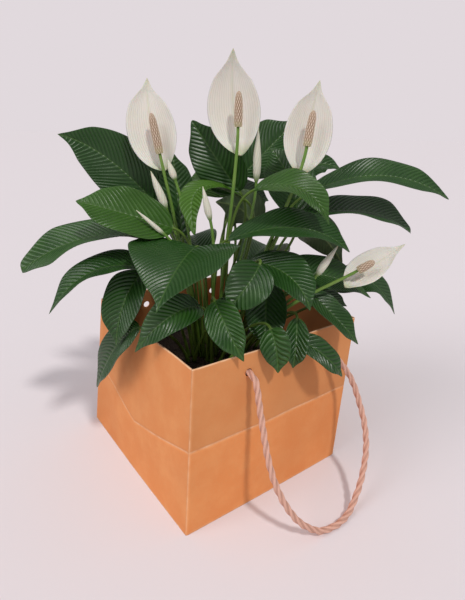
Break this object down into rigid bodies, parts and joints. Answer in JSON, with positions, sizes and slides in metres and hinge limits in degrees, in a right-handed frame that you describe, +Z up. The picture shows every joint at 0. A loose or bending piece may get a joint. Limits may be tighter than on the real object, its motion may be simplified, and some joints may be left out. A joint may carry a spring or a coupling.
{
  "type": "potted peace lily",
  "caption": "Flowering peace lily in a dark nursery pot, standing in an open square kraft-paper gift bag with a twisted rope handle that hangs to the floor in front.",
  "frame": {"origin": "middle of the paper bag's base, on the surface that it stands on", "axes": "+Z up; -Y towards the panel that the rope handle comes out of; +X to the right seen from that side"},
  "size_m": [0.3609, 0.3223, 0.41],
  "materials": {
    "leaf": "glossy green blade on a yellow-green petiole",
    "stalk": "satin yellow-green",
    "spathe": "satin white with faint veins",
    "spadix": "bumpy cream-tan",
    "kraft": "matte brown kraft paper",
    "rope": "twisted paper rope",
    "pot": "matte black",
    "soil": "dark crumbly potting mix"
  },
  "bodies": {
    "root": {"bud_centre": "spathe", "bud_left_high": "spathe", "bud_left_low": "spathe", "bud_left_slender": "spathe", "bud_middle_high": "spathe", "bud_right_low": "spathe", "flower_left_spadix": "spadix", "flower_left_spathe": "spathe", "flower_left_stalk": "stalk", "flower_low_spadix": "spadix", "flower_low_spathe": "spathe", "flower_low_stalk": "stalk", "flower_middle_spadix": "spadix", "flower_middle_spathe": "spathe", "flower_middle_stalk": "stalk", "flower_right_spadix": "spadix", "flower_right_spathe": "spathe", "flower_right_stalk": "stalk", "knot_left": "rope", "knot_right": "rope", "leaf_back_left": "leaf", "leaf_back_ribbed": "leaf", "leaf_back_top": "leaf", "leaf_behind_left_flower": "leaf", "leaf_centre_arching": "leaf", "leaf_centre_curled": "leaf", "leaf_centre_front": "leaf", "leaf_centre_inner": "leaf", "leaf_centre_pale": "leaf", "leaf_centre_right": "leaf", "leaf_centre_top": "leaf", "leaf_front_dark": "leaf", "leaf_front_hanging": "leaf", "leaf_front_large": "leaf", "leaf_left_arching": "leaf", "leaf_left_back": "leaf", "leaf_left_corner": "leaf", "leaf_left_glossy": "leaf", "leaf_left_low": "leaf", "leaf_left_top": "leaf", "leaf_left_twisted": "leaf", "leaf_over_front_edge": "leaf", "leaf_over_front_narrow": "leaf", "leaf_over_left_edge": "leaf", "leaf_over_right_edge": "leaf", "leaf_rear_left": "leaf", "leaf_rear_right": "leaf", "leaf_right_broad": "leaf", "leaf_right_corner": "leaf", "leaf_right_low": "leaf", "leaf_right_lowest": "leaf", "leaf_right_small": "leaf", "leaf_right_thin": "leaf", "leaf_right_top": "leaf", "leaf_right_twisted": "leaf", "leaf_right_underside": "leaf", "nursery_pot": "pot", "paper_bag": "kraft", "rope_handle": "rope", "soil": "soil"}
  },
  "joints": []
}
